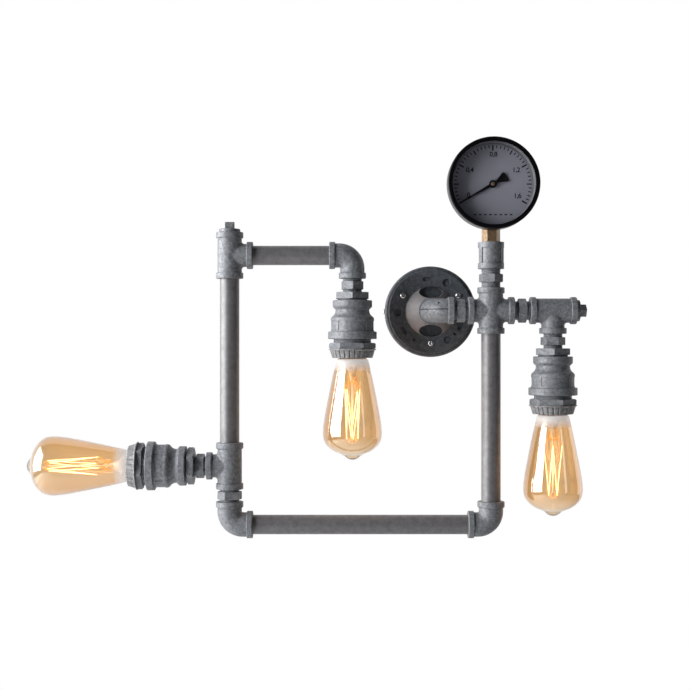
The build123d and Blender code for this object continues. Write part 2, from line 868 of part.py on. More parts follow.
def movement():
    tall = plate_top + plate_bottom
    plate = Box(plate_width, tall, plate_thickness, align=upright)
    plate = Pos(0, (plate_top - plate_bottom) / 2, 0) * fillet(plate.edges().filter_by(Axis.Z), pillar_r)
    body = Pos(0, 0, plate_back) * plate + Pos(0, 0, plate_front) * plate
    post_x = plate_width / 2 - 2 * pillar_r
    for side in (-1, 1):
        top_post = Pos(side * post_x, plate_top - 2 * pillar_r, 0)
        low_post = Pos(side * post_x, 2 * pillar_r - plate_bottom, 0)
        body += top_post * rod(pillar_r, plate_back, plate_front + plate_thickness)
        body += low_post * rod(pillar_r, plate_back, plate_front + plate_thickness)
        body += top_post * rod(dial_post_r, plate_front, dial_front - dial_thickness)
    reach = plate_front + plate_thickness + overrun
    body -= rod(arbor_r + arbor_clearance, 0, reach)
    return body - Pos(0, sector_y, 0) * rod(arbor_r + arbor_clearance, 0, reach)


def bourdon_tube():
    section = Plane.XZ * Pos(bourdon_r, 0) * SlotOverall(bourdon_width, bourdon_thickness, rotation=90)
    coil = revolve(section, Axis.Z, bourdon_sweep_deg)
    inner_r = bourdon_r - bourdon_thickness / 2
    start_deg = math.degrees(math.acos((gauge_block / 2 + case_clearance) / inner_r))
    return Rot(0, 0, -start_deg) * coil


def teeth(pitch_r, pitch_deg, count, middle_deg):
    height = tooth_height_share * pitch_r * math.radians(pitch_deg)
    points = []
    for i in range(count):
        centre = middle_deg + (i - (count - 1) / 2) * pitch_deg
        for side, share, radius in (
            (-1, tooth_root_share, pitch_r - height),
            (-1, tooth_tip_share, pitch_r + height),
            (1, tooth_tip_share, pitch_r + height),
            (1, tooth_root_share, pitch_r - height),
        ):
            a = math.radians(centre + side * share * pitch_deg / 2)
            points.append((radius * math.cos(a), radius * math.sin(a)))
    return points


def pointer_shape():
    half = pointer_width / 2
    tip = pointer_tip_width / 2
    tail = pointer_tail_width / 2
    outline = Polyline(
        (pointer_length, -tip),
        (pointer_length, tip),
        (0, half),
        (-pointer_tail_start, half),
        (-pointer_tail_end, tail),
        (-pointer_tail_end, -tail),
        (-pointer_tail_start, -half),
        (0, -half),
        close=True,
    )
    blade = make_face(outline)
    blade = fillet(blade.vertices().sort_by(Axis.X)[:2], pointer_corner_r)
    return extrude(blade, pointer_thickness)


def gauge_pointer():
    start = dial_front + pointer_height - pointer_thickness
    hand = Rot(0, 0, pointer_rest_deg) * Pos(0, 0, start) * pointer_shape()
    body = hand + rod(arbor_r, plate_back, arbor_top)
    hub = rod(pointer_hub_r, start - pointer_thickness, start + pointer_hub_height)
    hub = fillet(hub.edges().group_by(Axis.Z)[-1], pointer_thickness)
    slot = Box(2 * pointer_hub_r, pointer_slot_width, pointer_slot_depth + overrun, align=upright)
    body += hub - Pos(0, 0, start + pointer_hub_height - pointer_slot_depth) * slot
    pitch_deg = 360 / pinion_teeth
    outline = Polyline(*teeth(pinion_r, pitch_deg, pinion_teeth, -90), close=True)
    pinion_start = plate_back + plate_thickness + wheel_clearance
    pinion = extrude(make_face(outline), pinion_thickness)
    return body + Pos(0, 0, pinion_start) * pinion


def sector_gear():
    pitch_r = pinion_r * sector_ratio
    pitch_deg = 360 / (pinion_teeth * sector_ratio)
    first_deg = 90 - (sector_teeth - 1 - sector_lead_teeth) * pitch_deg
    middle_deg = first_deg + (sector_teeth - 1) / 2 * pitch_deg
    rim = teeth(pitch_r, pitch_deg, sector_teeth, middle_deg)
    inner_r = pitch_r - sector_arm_width
    span = sector_teeth * pitch_deg / 2
    ends = [math.radians(middle_deg + span), math.radians(middle_deg - span)]
    back = [(inner_r * math.cos(a), inner_r * math.sin(a)) for a in ends]
    blade = make_face(Polyline(*rim, *back, close=True))
    arm_turn = middle_deg - 90
    arm = Rot(0, 0, arm_turn) * Pos(0, inner_r / 2) * Rectangle(sector_arm_width, inner_r + sector_arm_width)
    tail = Rot(0, 0, arm_turn) * Pos(0, -sector_hub_r) * Rectangle(sector_arm_width, 2 * sector_hub_r)
    flat = blade + arm + tail + Circle(sector_hub_r)
    start = plate_back + plate_thickness + wheel_clearance
    body = Pos(0, 0, start) * extrude(flat, sector_thickness)
    body += rod(arbor_r, plate_back, plate_front + plate_thickness)
    return Pos(0, sector_y, 0) * body


os.makedirs("parts", exist_ok=True)

write("wall_bracket", toward_viewer * wall_bracket())
write("canopy_cup", toward_viewer * canopy_cup())
write("flange_plate", toward_viewer * flange_plate())
write("canopy_screws", *[toward_viewer * one for one in canopy_screws()])
write("terminal_block", toward_viewer * terminal_block())
write("frame_flex", *frame_flex())

write("wall_elbow", Pos(0, pipe_y, 0) * wall_elbow())
write("cross", Pos(cross_x, pipe_y, 0) * branched(up, [left, right]))
write("right_tee", Pos(right_tee_x, pipe_y, 0) * branched(right, [down]))
write("lower_right_elbow", Pos(cross_x, pipe_y, bottom_z) * elbow(up, left))
write("lower_left_elbow", Pos(left_x, pipe_y, bottom_z) * elbow(up, right))
write("left_tee", Pos(left_x, pipe_y, left_tee_z) * branched(up, [left]))
write("top_left_tee", Pos(left_x, pipe_y, top_z) * branched(up, [right]))
write("top_elbow", Pos(top_elbow_x, pipe_y, top_z) * elbow(left, down))

write("right_pipe", along(down, (cross_x, pipe_y, -fitting_reach)) * pipe(right_pipe_free))
write("bottom_pipe", along(left, (cross_x - fitting_reach, pipe_y, bottom_z)) * pipe(bottom_pipe_free))
write("left_pipe", along(up, (left_x, pipe_y, left_tee_z + fitting_reach)) * pipe(left_pipe_free))
write("top_pipe", along(right, (left_x + fitting_reach, pipe_y, top_z)) * pipe(top_pipe_free))

middle_face = (top_elbow_x, pipe_y, top_z - fitting_reach)
right_face = (right_tee_x, pipe_y, -fitting_reach)
left_face = (left_x - fitting_reach, pipe_y, left_tee_z)
corner_face = (left_x, pipe_y, bottom_z + fitting_reach)
write(
    "frame_nipples",
    toward_viewer * hub_nipple(),
    along(right, (wall_elbow_reach, pipe_y, 0)) * hex_nipple(wall_nipple_free, wall_nipple_turn_deg),
    along(up, (cross_x, pipe_y, fitting_reach)) * hex_nipple(gauge_nipple_free, gauge_nipple_turn_deg),
    along(right, (cross_x + fitting_reach, pipe_y, 0)) * hex_nipple(right_nipple_free, right_nipple_turn_deg),
    along(up, corner_face) * hex_nipple(corner_nipple_free, corner_nipple_turn_deg),
    along(left, left_face) * hex_nipple(left_lamp_nipple_free, left_lamp_nipple_turn_deg),
)
write("gauge_coupling", Pos(cross_x, pipe_y, coupling_z) * gauge_coupling())
write("right_plug", along(right, (right_tee_x + fitting_reach, pipe_y, 0)) * plug(plug_turn_deg))
write("top_left_plug", along(up, (left_x, pipe_y, top_z + fitting_reach)) * plug())

middle_nipple = hex_nipple(middle_lamp_nipple_free, middle_lamp_nipple_turn_deg)
right_nipple = hex_nipple(right_lamp_nipple_free, right_lamp_nipple_turn_deg)
write("middle_nipple", along(down, middle_face) * middle_nipple)
write("right_nipple", along(down, right_face) * right_nipple)
hanging = Location((0, 0, 0), (180, 0, 0))
lying = Location((0, 0, 0), (0, -90, 0))
middle_place = Pos(middle_face) * Pos(0, 0, -middle_lamp_nipple_free) * hanging
right_place = Pos(right_face) * Pos(0, 0, -right_lamp_nipple_free) * hanging
left_place = Pos(left_face) * Pos(-left_lamp_nipple_free, 0, 0) * lying
write_head("middle", middle_place, middle_hexagon_turns_deg)
write_head("right", right_place, right_hexagon_turns_deg)
write_head("left", left_place, left_hexagon_turns_deg)

gauge_place = Pos(cross_x, pipe_y, gauge_z) * toward_viewer
write("gauge_stem", gauge_place * gauge_stem())
write("gauge_case", gauge_place * gauge_case())
write("gauge_bezel", gauge_place * gauge_bezel())
write("gauge_window", gauge_place * gauge_window())
write("gauge_dial", gauge_place * gauge_dial())
write("gauge_movement", gauge_place * movement())
write("bourdon_tube", gauge_place * bourdon_tube())
write("gauge_pointer", gauge_place * gauge_pointer())
write("sector_gear", gauge_place * sector_gear())

print("left column at x", left_x, "bottom run at z", bottom_z, "gauge at z", gauge_z)
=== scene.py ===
# %% [markdown]
# A wall light made of galvanised half-inch water pipe, with three squirrel-cage bulbs and a
# pressure gauge. The hard parts come from the CAD model, already in place and to scale, so this
# lesson adds what the solids lack: finishes, the glowing cages in the bulbs, the printed dial,
# and soft studio light. Everything is in metres, and +Y points into the wall.

# %% Load the frame
import json
import math

import bmesh
import bpy
from mathutils import Matrix, Vector


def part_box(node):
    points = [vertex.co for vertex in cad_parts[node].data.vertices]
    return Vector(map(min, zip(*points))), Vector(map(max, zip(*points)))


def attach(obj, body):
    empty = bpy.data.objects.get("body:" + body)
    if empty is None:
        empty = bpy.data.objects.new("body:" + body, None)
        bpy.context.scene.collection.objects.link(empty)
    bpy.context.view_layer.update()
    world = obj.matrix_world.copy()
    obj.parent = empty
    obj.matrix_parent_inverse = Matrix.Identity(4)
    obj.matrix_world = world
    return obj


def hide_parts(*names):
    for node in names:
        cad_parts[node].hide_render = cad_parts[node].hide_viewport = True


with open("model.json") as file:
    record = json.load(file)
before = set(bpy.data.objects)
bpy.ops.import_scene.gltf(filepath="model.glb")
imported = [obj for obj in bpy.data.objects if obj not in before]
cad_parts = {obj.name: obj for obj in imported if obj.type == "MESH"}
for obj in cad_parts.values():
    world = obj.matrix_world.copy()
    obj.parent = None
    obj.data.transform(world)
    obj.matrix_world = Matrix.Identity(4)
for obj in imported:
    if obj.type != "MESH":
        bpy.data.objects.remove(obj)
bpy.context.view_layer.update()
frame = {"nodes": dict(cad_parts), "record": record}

# %% [markdown]
# The photograph was taken straight on, from about a metre and a half, so that the pipes run
# parallel to the picture's edges and the canopy shows as a full disc. A 68 mm lens on a 36 mm
# sensor gives the same spread: the gauge, nearer to us than the pipes, is pushed outwards a
# little, and the canopy, further away, is drawn in towards the middle.

# %% The camera
focal_length = 68.2
sensor_width = 36.0
eye = (-0.0969, -1.5, -0.0378)


def added(name, data):
    """A new object of this data, put in the scene."""
    made = bpy.data.objects.new(name, data)
    bpy.context.scene.collection.objects.link(made)
    return made


camera_data = bpy.data.cameras.new("camera")
camera_data.lens = focal_length
camera_data.sensor_width = sensor_width
camera = added("camera", camera_data)
camera.location = eye
camera.rotation_euler = (math.radians(90), 0, 0)
bpy.context.scene.camera = camera
bpy.context.scene.view_settings.view_transform = "Standard"
print("camera looks along +Y from", eye)

# %% [markdown]
# Light in a studio comes from big white panels, because small lamps leave hard dots on round
# metal. One big panel stands at the left, a little in front, so left-hand sides of the round
# pipes are bright, and the light falls away across their fronts into shade at the right. A tall
# narrow one at the right puts the small second shine on the bulbs, and a faint warm one behind
# them at the right lifts their far rims. The glass mirrors the panels as long milky stripes,
# but none shows through it, where it would glare from the side.

# %% The light panels
def panel(name, place, aim, size, watts, tint=(1, 1, 1)):
    data = bpy.data.lights.new(name, "AREA")
    data.shape = "RECTANGLE"
    data.size, data.size_y = size
    data.energy = watts
    data.color = tint
    lamp = added(name, data)
    lamp.location = place
    lamp.rotation_euler = (Vector(aim) - Vector(place)).to_track_quat("-Z", "Y").to_euler()
    lamp.visible_transmission = False
    print(name, "at", place, "with", watts, "watts")


panel("left_panel", place=(-2.0, -0.50, 0.50), aim=(-0.13, -0.05, 0.36), size=(2.3, 2.1), watts=170)
panel("right_strip", place=(1.9, -2.0, 0.1), aim=(0.0, -0.05, 0.1), size=(0.42, 1.5), watts=4)
panel(
    "rim_panel", place=(2.2, 0.9, 0.2), aim=(0.0, -0.05, 0.0), size=(1.4, 1.8), watts=3.3,
    tint=(1.0, 0.90, 0.80),
)

# %% [markdown]
# Materials and the world are made of nodes, and three kinds of step come back in them: a node
# with a few sockets set, arithmetic on two values, and two shaders mixed by a share.

# %% Helpers for nodes
def node(tree, kind, **sockets):
    """A node with some sockets set. An underscore in a name stands for a space."""
    made = tree.nodes.new(kind)
    for name, value in sockets.items():
        made.inputs[name.replace("_", " ")].default_value = value
    return made


def calculated(tree, operation, first, second):
    """Arithmetic on two values, each a number or the output of another node."""
    made = tree.nodes.new("ShaderNodeMath")
    made.operation = operation
    for socket, value in zip(made.inputs, (first, second)):
        if isinstance(value, float):
            socket.default_value = value
        else:
            tree.links.new(value, socket)
    return made.outputs[0]


def show_mixed(tree, share, first, second, output_kind):
    """Two shaders mixed by a share become what the tree shows."""
    mixed = tree.nodes.new("ShaderNodeMixShader")
    tree.links.new(share, mixed.inputs[0])
    tree.links.new(first.outputs[0], mixed.inputs[1])
    tree.links.new(second.outputs[0], mixed.inputs[2])
    shown = tree.nodes.new(output_kind)
    tree.links.new(mixed.outputs[0], shown.inputs[0])


print("helpers for nodes: node, calculated and show_mixed")

# %% [markdown]
# The backdrop of the photograph is pure white. The world is white where the camera looks at it,
# straight or through clear glass, and where the backdrop shows in a polished surface, which is
# behind the object only. The dark side of the studio, where the camera stands, is a dim fill,
# and so is the light that the world itself gives. Making the whole world white would be
# simpler, but it would wash out every shade on the metal.

# %% The world
fill_strength = 0.065
backdrop_from_y = 0.16

world = bpy.data.worlds.new("studio")
bpy.context.scene.world = world
world.use_nodes = True
sky = world.node_tree
sky.nodes.clear()
fill_light = node(sky, "ShaderNodeBackground", Color=(0.93, 0.96, 1, 1), Strength=fill_strength)
white_paper = node(sky, "ShaderNodeBackground", Color=(1, 1, 1, 1), Strength=1.0)
path = sky.nodes.new("ShaderNodeLightPath")
way = sky.nodes.new("ShaderNodeTexCoord")
way_parts = sky.nodes.new("ShaderNodeSeparateXYZ")
sky.links.new(way.outputs["Generated"], way_parts.inputs[0])
backwards = calculated(sky, "GREATER_THAN", way_parts.outputs["Y"], backdrop_from_y)
mirrored = calculated(sky, "MULTIPLY", backwards, path.outputs["Is Glossy Ray"])
straight = calculated(
    sky, "MAXIMUM", path.outputs["Is Camera Ray"], path.outputs["Is Transmission Ray"])
seen = calculated(sky, "MAXIMUM", straight, mirrored)
show_mixed(sky, seen, fill_light, white_paper, "ShaderNodeOutputWorld")
print("the world fills in at", fill_strength, "and shows white at 1")

# %% [markdown]
# The floor is a pale sheet far below that takes the object's soft shadow. What the camera sees
# of it is mostly plain white, so that it fades into the backdrop, and the rest is paper in the
# studio's light.

# %% The floor
floor_z = -0.90
floor_side = 3.0
floor_back = 1.1
white_share = 0.75

floor_mesh = bpy.data.meshes.new("floor")
floor_mesh.from_pydata([
    (-floor_side, -floor_side, floor_z), (floor_side, -floor_side, floor_z),
    (floor_side, floor_back, floor_z), (-floor_side, floor_back, floor_z),
], [], [(0, 1, 2, 3)])
floor = added("floor", floor_mesh)
pale_floor = bpy.data.materials.new("pale_floor")
pale_floor.use_nodes = True
paper = pale_floor.node_tree
paper.nodes.clear()
sheet_colour = node(paper, "ShaderNodeBsdfDiffuse", Color=(0.82, 0.82, 0.82, 1))
sheet_white = node(paper, "ShaderNodeEmission", Color=(1, 1, 1, 1), Strength=1.0)
sheet_path = paper.nodes.new("ShaderNodeLightPath")
sheet_share = calculated(paper, "MULTIPLY", sheet_path.outputs["Is Camera Ray"], white_share)
show_mixed(paper, sheet_share, sheet_colour, sheet_white, "ShaderNodeOutputMaterial")
floor_mesh.materials.append(pale_floor)
print("floor at", floor_z, "metres")

# %% [markdown]
# A finish is built from a few layers that real metal has too. Cloudy noise a few millimetres
# wide is the mottling of zinc, and fine noise is the grain of the casting. The noise is read in
# the object's own space, so it needs no unwrapping and keeps one scale on every part. Colours
# are mixed by it, and the gloss is stretched from it: noise seldom leaves the middle of its
# range, so that middle is stretched over the whole of the gloss.

# %% Helpers for colour and gloss
noise_low, noise_high = 0.3, 0.7


def new_finish(name):
    finish = bpy.data.materials.new(name)
    finish.use_nodes = True
    tree = finish.node_tree
    return finish, tree, tree.nodes["Principled BSDF"]


def noise(tree, scale, detail, roughness=0.55):
    """Noise whose clouds are about 1 / scale metres wide."""
    place = tree.nodes.new("ShaderNodeTexCoord")
    made = node(tree, "ShaderNodeTexNoise", Scale=scale, Detail=detail, Roughness=roughness)
    tree.links.new(place.outputs["Object"], made.inputs["Vector"])
    return made.outputs["Fac"]


def spread(tree, value, low, high, out_low, out_high):
    """A value between low and high is stretched to run from out_low to out_high."""
    made = node(
        tree, "ShaderNodeMapRange", From_Min=low, From_Max=high, To_Min=out_low, To_Max=out_high)
    tree.links.new(value, made.inputs["Value"])
    return made.outputs["Result"]


def blend_colours(tree, share, first, second):
    """Two colours, each a tuple or the output of another node, are mixed by a share."""
    made = tree.nodes.new("ShaderNodeMix")
    made.data_type = "RGBA"
    tree.links.new(share, made.inputs[0])
    first_colour, second_colour, mixed_colour = made.inputs[6], made.inputs[7], made.outputs[2]
    for socket, value in ((first_colour, first), (second_colour, second)):
        if isinstance(value, tuple):
            socket.default_value = (*value, 1)
        else:
            tree.links.new(value, socket)
    return mixed_colour


def shade(colour, times):
    """A colour made darker or lighter, but never lighter than white."""
    return tuple(min(1.0, c * times) for c in colour)


print("noise is stretched from", noise_low, "to", noise_high)

# %% [markdown]
# Where an edge has been handled, the coat is rubbed brighter. The bevel node finds edges by
# comparing a rounded normal with the flat one, and rounds them as well, with no change to the
# mesh. The grain is laid over that rounded normal as a bump, so that it catches the light.

# %% Helpers for edges and grain
bevel_samples = 4
flat_face_dot, edge_dot = 0.99, 0.80


def rounded_normal(tree, radius):
    rounded = node(tree, "ShaderNodeBevel", Radius=radius)
    rounded.samples = bevel_samples
    return rounded.outputs["Normal"]


def edge_share(tree, rounded):
    """0 on a flat face, up to 1 where the rounded normal leans away from the flat one."""
    flat = tree.nodes.new("ShaderNodeNewGeometry")
    same = tree.nodes.new("ShaderNodeVectorMath")
    same.operation = "DOT_PRODUCT"
    tree.links.new(rounded, same.inputs[0])
    tree.links.new(flat.outputs["Normal"], same.inputs[1])
    return spread(tree, same.outputs["Value"], flat_face_dot, edge_dot, 0.0, 1.0)


def grained(tree, grain, normal, strength, depth):
    bump = node(tree, "ShaderNodeBump", Strength=strength, Distance=depth)
    tree.links.new(grain, bump.inputs["Height"])
    tree.links.new(normal, bump.inputs["Normal"])
    return bump.outputs["Normal"]


print("an edge shows where the normals' product falls from", flat_face_dot, "to", edge_dot)

# %% [markdown]
# The fittings are cast iron dipped in zinc. The coat has dulled to a blue grey with darker
# clouds, dark pits and tiny pale specks. It is a poor mirror, so only part of it is metallic,
# and its gloss changes with the clouds. A photograph of zinc would be quicker, but it would
# stretch and repeat on forms as different as these, where noise fits them all.

# %% A coat of zinc
mm = 0.001
cast_grain_depth = 0.4 * mm
cloud_low, cloud_high = 0.34, 0.66
pit_shallow, pit_deep, pit_share = 0.47, 0.30, 0.40
speck_faint, speck_full, speck_share = 0.52, 0.70, 0.32
pit_shade, rubbed_shade = 0.5, 1.5


def zinc_coat(
    name, dark, light, metallic, dull, bright,
    cloud=230.0, grain=900.0, strength=0.35, edge_r=0.6 * mm, mirror=0.5,
):
    finish, tree, skin = new_finish(name)
    clouds = noise(tree, cloud, detail=6.0, roughness=0.68)
    specks = noise(tree, grain, detail=3.0, roughness=0.6)
    rubbed_colour = shade(light, rubbed_shade)
    mottling = spread(tree, clouds, cloud_low, cloud_high, 0.0, 1.0)
    mottled = blend_colours(tree, mottling, dark, light)
    pits = spread(tree, specks, pit_shallow, pit_deep, 0.0, pit_share)
    pitted = blend_colours(tree, pits, mottled, shade(dark, pit_shade))
    pale_specks = spread(tree, specks, speck_faint, speck_full, 0.0, speck_share)
    speckled = blend_colours(tree, pale_specks, pitted, rubbed_colour)
    rounded = rounded_normal(tree, edge_r)
    rubbed = blend_colours(tree, edge_share(tree, rounded), speckled, rubbed_colour)
    tree.links.new(rubbed, skin.inputs["Base Color"])
    gloss = spread(tree, clouds, noise_low, noise_high, dull, bright)
    tree.links.new(gloss, skin.inputs["Roughness"])
    normal = grained(tree, specks, rounded, strength, cast_grain_depth)
    tree.links.new(normal, skin.inputs["Normal"])
    skin.inputs["Metallic"].default_value = metallic
    skin.inputs["Specular IOR Level"].default_value = mirror
    return finish


print("pits take up to", pit_share, "of the colour and specks", speck_share)

# %% [markdown]
# Castings get small clouds and the coarsest grain. Straight pipes are drawn steel, browner and
# smoother, with wider clouds and more shine. The fluted rings are a paler casting, and the
# bracket behind the canopy is bright plated sheet.

# %% Galvanised parts
fitting_zinc = zinc_coat(
    "fitting_zinc", (0.067, 0.072, 0.081), (0.180, 0.189, 0.204), metallic=0.06,
    dull=0.58, bright=0.46, cloud=300.0, grain=620.0, strength=0.15, mirror=0.45)
pipe_zinc = zinc_coat(
    "pipe_zinc", (0.073, 0.071, 0.074), (0.119, 0.116, 0.122), metallic=0.12,
    dull=0.48, bright=0.38, cloud=150.0, grain=1100.0, strength=0.08, mirror=0.65)
ring_zinc = zinc_coat(
    "ring_zinc", (0.072, 0.073, 0.076), (0.215, 0.216, 0.222), metallic=0.10,
    dull=0.55, bright=0.42, cloud=300.0, grain=1000.0, strength=0.2, mirror=0.4)
bracket_zinc = zinc_coat(
    "bracket_zinc", (0.42, 0.43, 0.44), (0.55, 0.56, 0.57), metallic=0.6,
    dull=0.45, bright=0.35)
print("the fittings' coat has", len(fitting_zinc.node_tree.nodes), "nodes")

# %% [markdown]
# The other hard skins are made of the same layers, with other colours and gloss: dark paint on
# the flange, grey paint on the gauge's case, and black on its bezel and pointer. The seam of a
# casting is coloured nearly black, which is painted shadow for the shade along it. A painted
# skin isn't metallic, and mirrors less than a bare one.

# %% Paints
plate_paint = zinc_coat(
    "plate_paint", (0.034, 0.039, 0.046), (0.083, 0.092, 0.105), metallic=0.05,
    dull=0.60, bright=0.48, cloud=260.0, strength=0.15, edge_r=0.5 * mm, mirror=0.35)
case_paint = zinc_coat(
    "case_paint", (0.19, 0.194, 0.200), (0.24, 0.244, 0.250), metallic=0.1,
    dull=0.45, bright=0.38, cloud=80.0, grain=2000.0, strength=0.08)
bezel_paint = zinc_coat(
    "bezel_paint", (0.0012, 0.0012, 0.0018), (0.002, 0.002, 0.0028), metallic=0.0,
    dull=0.34, bright=0.28, cloud=90.0, grain=2400.0, strength=0.04, mirror=0.15)
pointer_paint = zinc_coat(
    "pointer_paint", (0.0012, 0.0012, 0.0018), (0.002, 0.002, 0.003), metallic=0.0,
    dull=0.6, bright=0.55, cloud=300.0, grain=2400.0, strength=0.06, edge_r=0.2 * mm, mirror=0.05)
# painted shadow: the seam's nearly black colour stands for the shade along the casting seam
seam_painted_shadow = zinc_coat(
    "seam_painted_shadow", (0.010, 0.011, 0.013), (0.020, 0.022, 0.025), metallic=0.0,
    dull=0.8, bright=0.7, strength=0.1, mirror=0.1)
print("finishes so far:", len(bpy.data.materials))

# %% [markdown]
# Bare metals are brighter and more metallic. The canopy's screws and the bulbs' caps are
# plated, and the gauge's stem and the boss of its pointer are turned brass, which has dulled.

# %% Plating and brass
screw_plating = zinc_coat(
    "screw_plating", (0.45, 0.45, 0.47), (0.66, 0.66, 0.69), metallic=0.9,
    dull=0.3, bright=0.2, cloud=500.0, grain=2500.0, strength=0.1, edge_r=0.3 * mm)
cap_nickel = zinc_coat(
    "cap_nickel", (0.55, 0.53, 0.50), (0.70, 0.68, 0.64), metallic=0.9,
    dull=0.3, bright=0.22, cloud=300.0, grain=1800.0, strength=0.1)
turned_brass = zinc_coat(
    "turned_brass", (0.135, 0.087, 0.051), (0.270, 0.180, 0.102), metallic=0.5,
    dull=0.44, bright=0.34, cloud=260.0, grain=1600.0, strength=0.12)
boss_brass = zinc_coat(
    "boss_brass", (0.085, 0.054, 0.037), (0.170, 0.110, 0.074), metallic=0.4,
    dull=0.44, bright=0.34, cloud=900.0, grain=2600.0, strength=0.1, edge_r=0.2 * mm)
print("finishes so far:", len(bpy.data.materials))

# %% [markdown]
# The cone in the middle of the flange has been handled more than the plate round it. Its paint
# is rubbed to a pale, slightly warm grey, from the plate's face outwards. Where the cone starts
# follows from the flange's own box, and the two coats are mixed by the distance from the wall.

# %% Rubbed cone of the flange
cone_height = 14.0 * mm
rub_start, rub_full = 0.2 * mm, 1.2 * mm

plate_face_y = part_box("flange_plate")[0].y + cone_height
cone_skin = plate_paint.node_tree
cone_place = cone_skin.nodes.new("ShaderNodeTexCoord")
cone_parts = cone_skin.nodes.new("ShaderNodeSeparateXYZ")
cone_skin.links.new(cone_place.outputs["Object"], cone_parts.inputs[0])
raised = spread(
    cone_skin, cone_parts.outputs["Y"], plate_face_y - rub_start, plate_face_y - rub_full, 0.0, 1.0)
rubs = noise(cone_skin, scale=210.0, detail=5.0, roughness=0.6)
rubbed_grey = blend_colours(cone_skin, rubs, (0.112, 0.104, 0.107), (0.188, 0.177, 0.182))
skin_colour = cone_skin.nodes["Principled BSDF"].inputs["Base Color"]
painted = skin_colour.links[0].from_socket
cone_skin.links.new(blend_colours(cone_skin, raised, painted, rubbed_grey), skin_colour)
print("cone starts at y =", round(plate_face_y, 4))

# %% [markdown]
# Ceramic, plastic and rubber sit inside, where little of them shows. They still get a faint
# cloudiness in colour and gloss, because a perfectly even surface looks like a drawing.

# %% Finishes of the inner parts
moulded_edge_r = 0.4 * mm
moulded_grain = 1400.0
moulded_grain_strength, moulded_grain_depth = 0.08, 0.2 * mm


def moulded(name, dark, light, dull, bright, cloud=90.0, coat=0.0, mirror=0.5):
    finish, tree, skin = new_finish(name)
    clouds = noise(tree, cloud, detail=3.0, roughness=0.5)
    tree.links.new(blend_colours(tree, clouds, dark, light), skin.inputs["Base Color"])
    gloss = spread(tree, clouds, noise_low, noise_high, dull, bright)
    tree.links.new(gloss, skin.inputs["Roughness"])
    rounded = rounded_normal(tree, moulded_edge_r)
    grain = noise(tree, moulded_grain, detail=2.0)
    normal = grained(tree, grain, rounded, moulded_grain_strength, moulded_grain_depth)
    tree.links.new(normal, skin.inputs["Normal"])
    skin.inputs["Coat Weight"].default_value = coat
    skin.inputs["Specular IOR Level"].default_value = mirror
    return finish


holder_ceramic = moulded(
    "holder_ceramic", (0.74, 0.71, 0.65), (0.84, 0.82, 0.77), dull=0.3, bright=0.22, coat=0.4)
terminal_plastic = moulded(
    "terminal_plastic", (0.78, 0.78, 0.74), (0.86, 0.86, 0.83), dull=0.45, bright=0.36)
flex_rubber = moulded(
    "flex_rubber", (0.02, 0.02, 0.021), (0.035, 0.035, 0.036), dull=0.7, bright=0.6)
print("finishes so far:", len(bpy.data.materials))

# %% [markdown]
# The dial is a printed metal disc, a cool mid grey with a matt face. Its grain is very fine, so
# it is only a slight unevenness of the grey. The ink is nearly black and shines even less, and
# the slanted rim round the dial has a darker grey of its own.

# %% Dial face and ink
dial_face = moulded(
    "dial_face", (0.186, 0.192, 0.228), (0.207, 0.213, 0.250), dull=0.62, bright=0.55,
    cloud=60.0, mirror=0.2)
dial_ink = moulded(
    "dial_ink", (0.0012, 0.0012, 0.002), (0.002, 0.002, 0.003), dull=0.7, bright=0.6,
    cloud=400.0, mirror=0.1)
rim_paint = moulded(
    "rim_paint", (0.105, 0.107, 0.119), (0.120, 0.122, 0.134), dull=0.5, bright=0.42, cloud=60.0)
print("finishes so far:", len(bpy.data.materials))

# %% [markdown]
# The bulbs are clear glass stained amber. The solid has a real wall, so the stain is put in the
# volume: light that skims through the wall near the rim travels further in the glass and comes
# out darker, which draws the bulb's outline by itself. Such a bulb also has a lustre, a film
# that mirrors more than plain glass, and the white backdrop shows in it as a pale band towards
# the rim. A coat with a high refractive index stands for that film.

# %% Amber glass
glass_ior = 1.46
film_ior = 1.68
film_roughness = 0.02
stain_density = 900.0


def stained_glass(name, tint, density):
    finish, tree, skin = new_finish(name)
    skin.inputs["Base Color"].default_value = (1, 1, 1, 1)
    skin.inputs["Transmission Weight"].default_value = 1.0
    skin.inputs["Roughness"].default_value = 0.0
    skin.inputs["IOR"].default_value = glass_ior
    skin.inputs["Coat Weight"].default_value = 1.0
    skin.inputs["Coat IOR"].default_value = film_ior
    skin.inputs["Coat Roughness"].default_value = film_roughness
    ripple = node(tree, "ShaderNodeBump", Strength=0.05, Distance=0.6 * mm)
    tree.links.new(noise(tree, scale=40.0, detail=2.0), ripple.inputs["Height"])
    tree.links.new(ripple.outputs["Normal"], skin.inputs["Normal"])
    stain = node(tree, "ShaderNodeVolumeAbsorption", Color=(*tint, 1), Density=density)
    tree.links.new(stain.outputs["Volume"], tree.nodes["Material Output"].inputs["Volume"])
    return finish


amber_glass = stained_glass("amber_glass", (0.82, 0.53, 0.06), stain_density)
print("refractive index of the glass", glass_ior, "and of the film", film_ior)

# %% [markdown]
# The gauge's window is a flat pane, and a flat pane bends nothing. So it needs no refraction:
# it is see-through, with a faint mirror of the room and a few smears.

# %% Window glass
window_clearness = 0.94
wiped, smeared = 0.03, 0.10


def flat_glass(name, clearness):
    finish, tree, skin = new_finish(name)
    smears = noise(tree, scale=60.0, detail=3.0)
    skin.inputs["Base Color"].default_value = (0.02, 0.02, 0.025, 1)
    gloss = spread(tree, smears, noise_low, noise_high, wiped, smeared)
    tree.links.new(gloss, skin.inputs["Roughness"])
    skin.inputs["Alpha"].default_value = 1 - clearness
    return finish


window_glass = flat_glass("window_glass", window_clearness)
print("the window lets", window_clearness, "of the dial through")

# %% [markdown]
# The stem inside the neck is a wide foot of rather milky glass. It hides the inside of the
# screw cap, and makes the top of each bulb pale.

